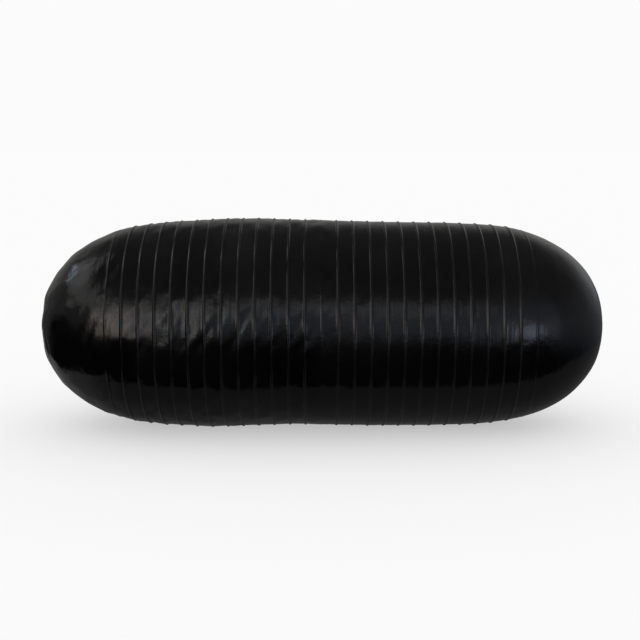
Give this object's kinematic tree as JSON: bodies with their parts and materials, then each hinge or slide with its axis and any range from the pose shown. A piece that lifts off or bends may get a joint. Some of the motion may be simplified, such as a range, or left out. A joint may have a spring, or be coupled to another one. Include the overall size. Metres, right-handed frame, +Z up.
{
  "type": "air-filled bolster roll",
  "caption": "Round-ended, air-filled PVC bolster roll with raised moulded rings and a flush, plugged filling valve in one end.",
  "frame": {"origin": "centre of the bottom of the roll's bounding box, in the middle of the strip that it rests on", "axes": "+X along the roll towards the valve, +Z up, +Y across the roll"},
  "size_m": [0.4, 0.149, 0.148],
  "materials": {
    "skin": "gloss",
    "port": "satin",
    "plug": "satin"
  },
  "bodies": {
    "roll": {"roll_skin": "skin", "valve_port": "port"},
    "plug": {"valve_plug": "plug"}
  },
  "joints": [
    {"name": "plug_pull", "type": "slide", "parent": "roll", "child": "plug", "axis": [1, 0, 0], "range_m": [0, 0.06]}
  ]
}
